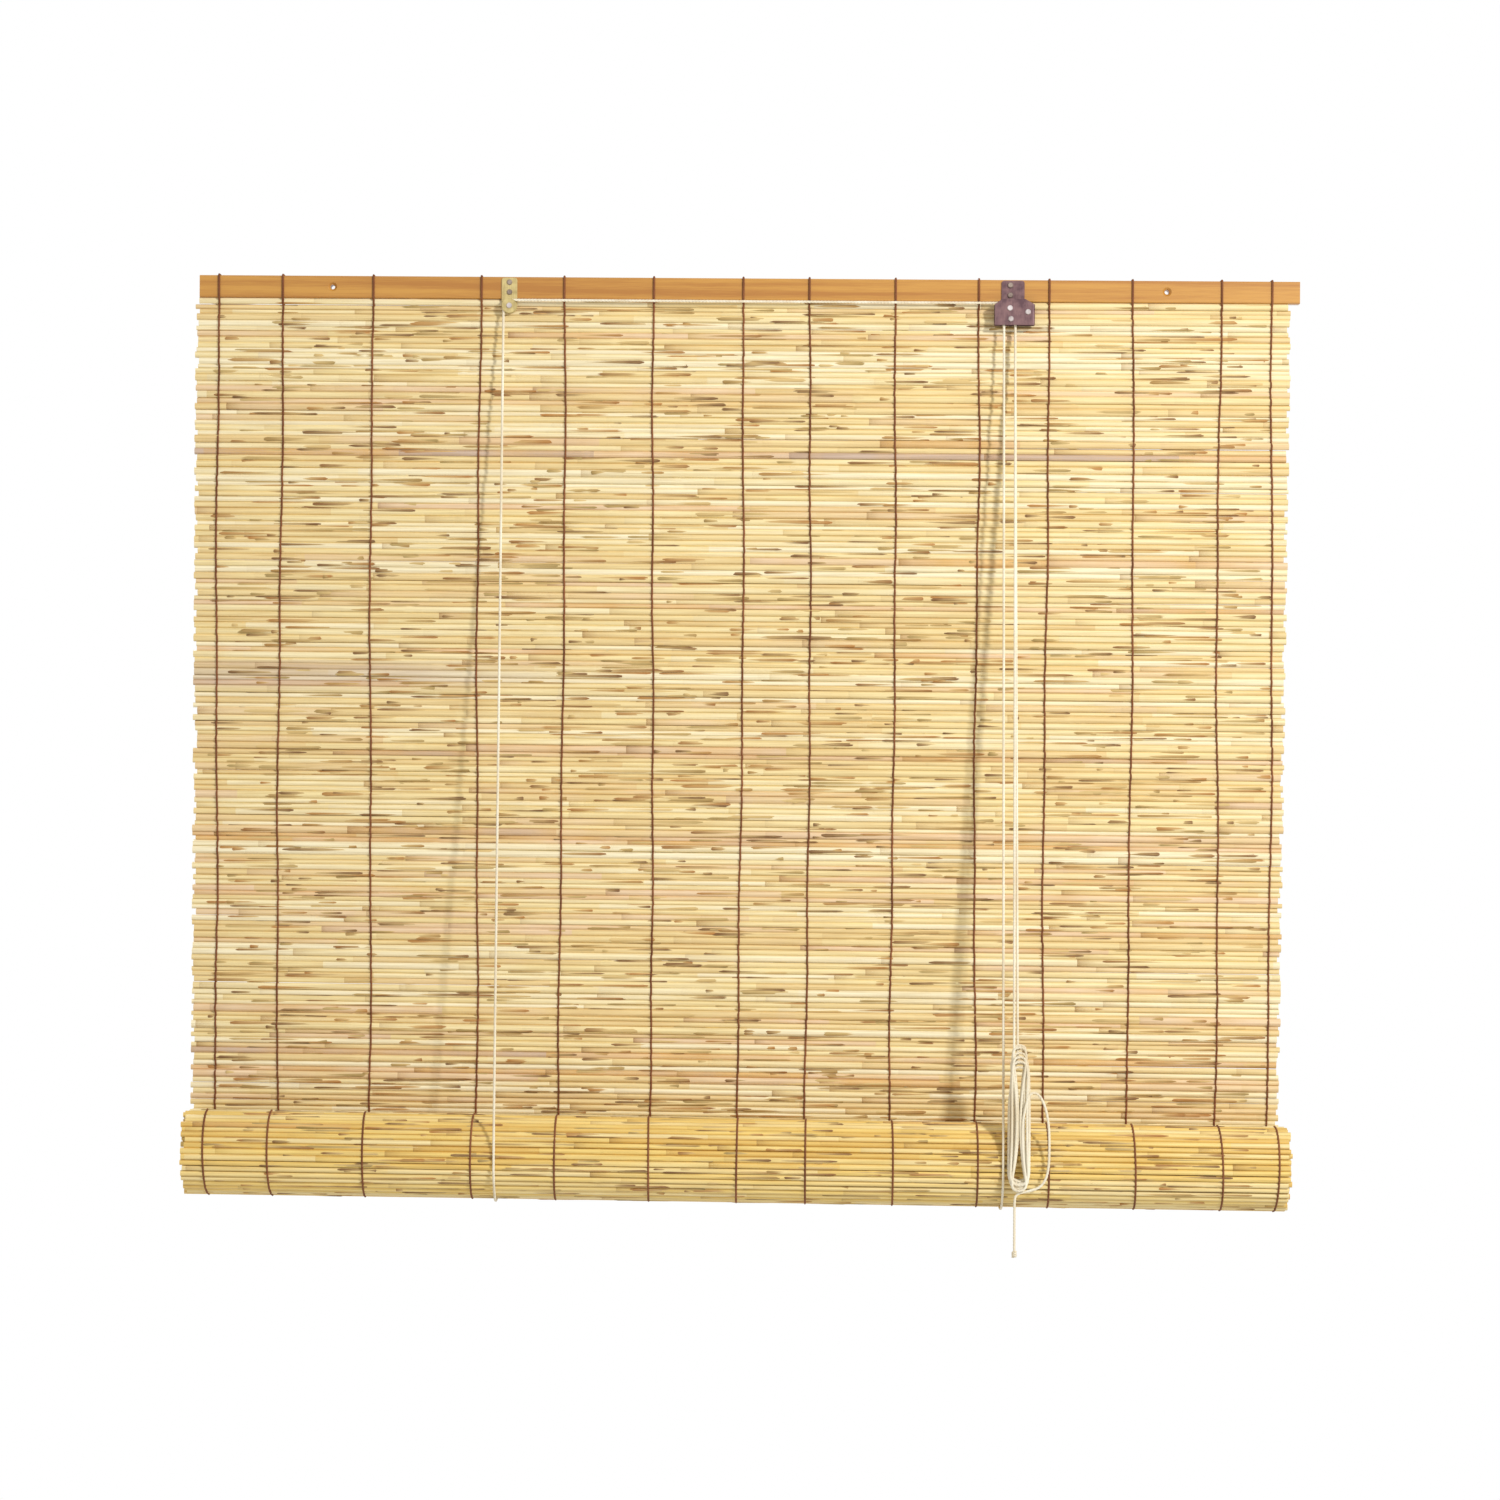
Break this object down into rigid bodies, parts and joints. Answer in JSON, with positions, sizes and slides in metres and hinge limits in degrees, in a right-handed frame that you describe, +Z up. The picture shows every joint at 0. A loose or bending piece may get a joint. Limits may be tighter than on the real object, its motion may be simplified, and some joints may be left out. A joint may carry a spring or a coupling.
{
  "type": "reed roller blind",
  "caption": "Roll-up window blind of natural reeds tied by dark threads, hung from a wooden batten, with cord slings, a pulley, a cord lock and a hank of pull cord.",
  "frame": {"origin": "on the back face of the head batten, midway between the two wall-screw holes", "axes": "+X to the viewer's right along the batten, +Y into the wall, +Z up"},
  "size_m": [1.205, 0.1151, 1.0548],
  "materials": {
    "batten_wood": "varnished wood",
    "reed": "natural dry reed, satin",
    "warp_thread": "twisted brown thread",
    "zinc": "yellow zinc plate",
    "bronze": "dark bronzed steel",
    "rivet_steel": "bright steel",
    "cord": "off-white braided cord"
  },
  "bodies": {
    "head": {"head_batten": "batten_wood", "strap_screws": "rivet_steel", "hanging_mat": "reed", "warp_thread_01": "warp_thread", "warp_thread_02": "warp_thread", "warp_thread_03": "warp_thread", "warp_thread_04": "warp_thread", "warp_thread_05": "warp_thread", "warp_thread_06": "warp_thread", "warp_thread_07": "warp_thread", "warp_thread_08": "warp_thread", "warp_thread_09": "warp_thread", "warp_thread_10": "warp_thread", "warp_thread_11": "warp_thread", "warp_thread_12": "warp_thread", "warp_thread_13": "warp_thread", "warp_thread_14": "warp_thread", "pulley_bracket": "zinc", "pulley_pin": "rivet_steel", "lock_housing": "bronze", "lock_wheel_pin": "rivet_steel", "lock_anvil": "rivet_steel", "lock_cam_pin": "rivet_steel", "left_cord_rear": "cord", "left_cord_front": "cord", "left_cord_knot": "cord", "left_cord_cross": "cord", "right_cord_rear": "cord", "right_cord_front": "cord", "right_cord_knot": "cord", "right_cord_wrap": "cord", "left_pull_cord": "cord", "right_pull_cord": "cord"},
    "sling": {"left_cord_sling": "cord", "right_cord_sling": "cord"},
    "roll": {"rolled_mat": "reed", "bottom_batten": "batten_wood", "roll_thread_01": "warp_thread", "roll_thread_02": "warp_thread", "roll_thread_03": "warp_thread", "roll_thread_04": "warp_thread", "roll_thread_05": "warp_thread", "roll_thread_06": "warp_thread", "roll_thread_07": "warp_thread", "roll_thread_08": "warp_thread", "roll_thread_09": "warp_thread", "roll_thread_10": "warp_thread", "roll_thread_11": "warp_thread", "roll_thread_12": "warp_thread", "roll_thread_13": "warp_thread", "roll_thread_14": "warp_thread"},
    "hank": {"cord_hank": "cord", "hank_loop": "cord", "cord_tail": "cord", "tail_knot": "cord"},
    "pulley_wheel": {"pulley_wheel": "zinc"},
    "lock_wheel": {"lock_wheel": "zinc"},
    "lock_cam": {"lock_cam": "bronze"}
  },
  "joints": [
    {"name": "roll_lift", "type": "slide", "parent": "head", "child": "sling", "axis": [0, 0, 1], "range_m": [-0.278, 0.828], "deforming": ["hanging_mat", "warp_thread_01", "warp_thread_02", "warp_thread_03", "warp_thread_04", "warp_thread_05", "warp_thread_06", "warp_thread_07", "warp_thread_08", "warp_thread_09", "warp_thread_10", "warp_thread_11", "warp_thread_12", "warp_thread_13", "warp_thread_14", "left_cord_rear", "right_cord_rear", "left_cord_front", "right_cord_front", "left_pull_cord", "right_pull_cord"]},
    {"name": "roll_turn", "type": "hinge", "parent": "sling", "child": "roll", "pos_m": [-0.009, -0.05375, -0.944], "axis": [1, 0, -0.0099], "range_deg": [-1085, 365]},
    {"name": "hank_drop", "type": "slide", "parent": "sling", "child": "hank", "axis": [0, 0, 1], "range_m": [-2.51, 0.84]},
    {"name": "pulley_turn", "type": "hinge", "parent": "head", "child": "pulley_wheel", "pos_m": [-0.26195, -0.0203, -0.0199], "axis": [0, 1, 0], "continuous": true},
    {"name": "lock_wheel_turn", "type": "hinge", "parent": "head", "child": "lock_wheel", "pos_m": [0.28309, -0.022, -0.0199], "axis": [0, 1, 0], "continuous": true},
    {"name": "cam_swing", "type": "hinge", "parent": "head", "child": "lock_cam", "pos_m": [0.30274, -0.022, -0.024], "axis": [0, -1, 0], "range_deg": [0, 35], "stiffness_Nm_per_rad": 0.005, "springref_deg": -17.19}
  ],
  "couplings": [
    {"joint": "roll_turn", "follows": "roll_lift", "rad_per_m": -22.599},
    {"joint": "hank_drop", "follows": "roll_lift", "ratio": -3},
    {"joint": "pulley_turn", "follows": "roll_lift", "rad_per_m": 320},
    {"joint": "lock_wheel_turn", "follows": "roll_lift", "rad_per_m": 320}
  ]
}
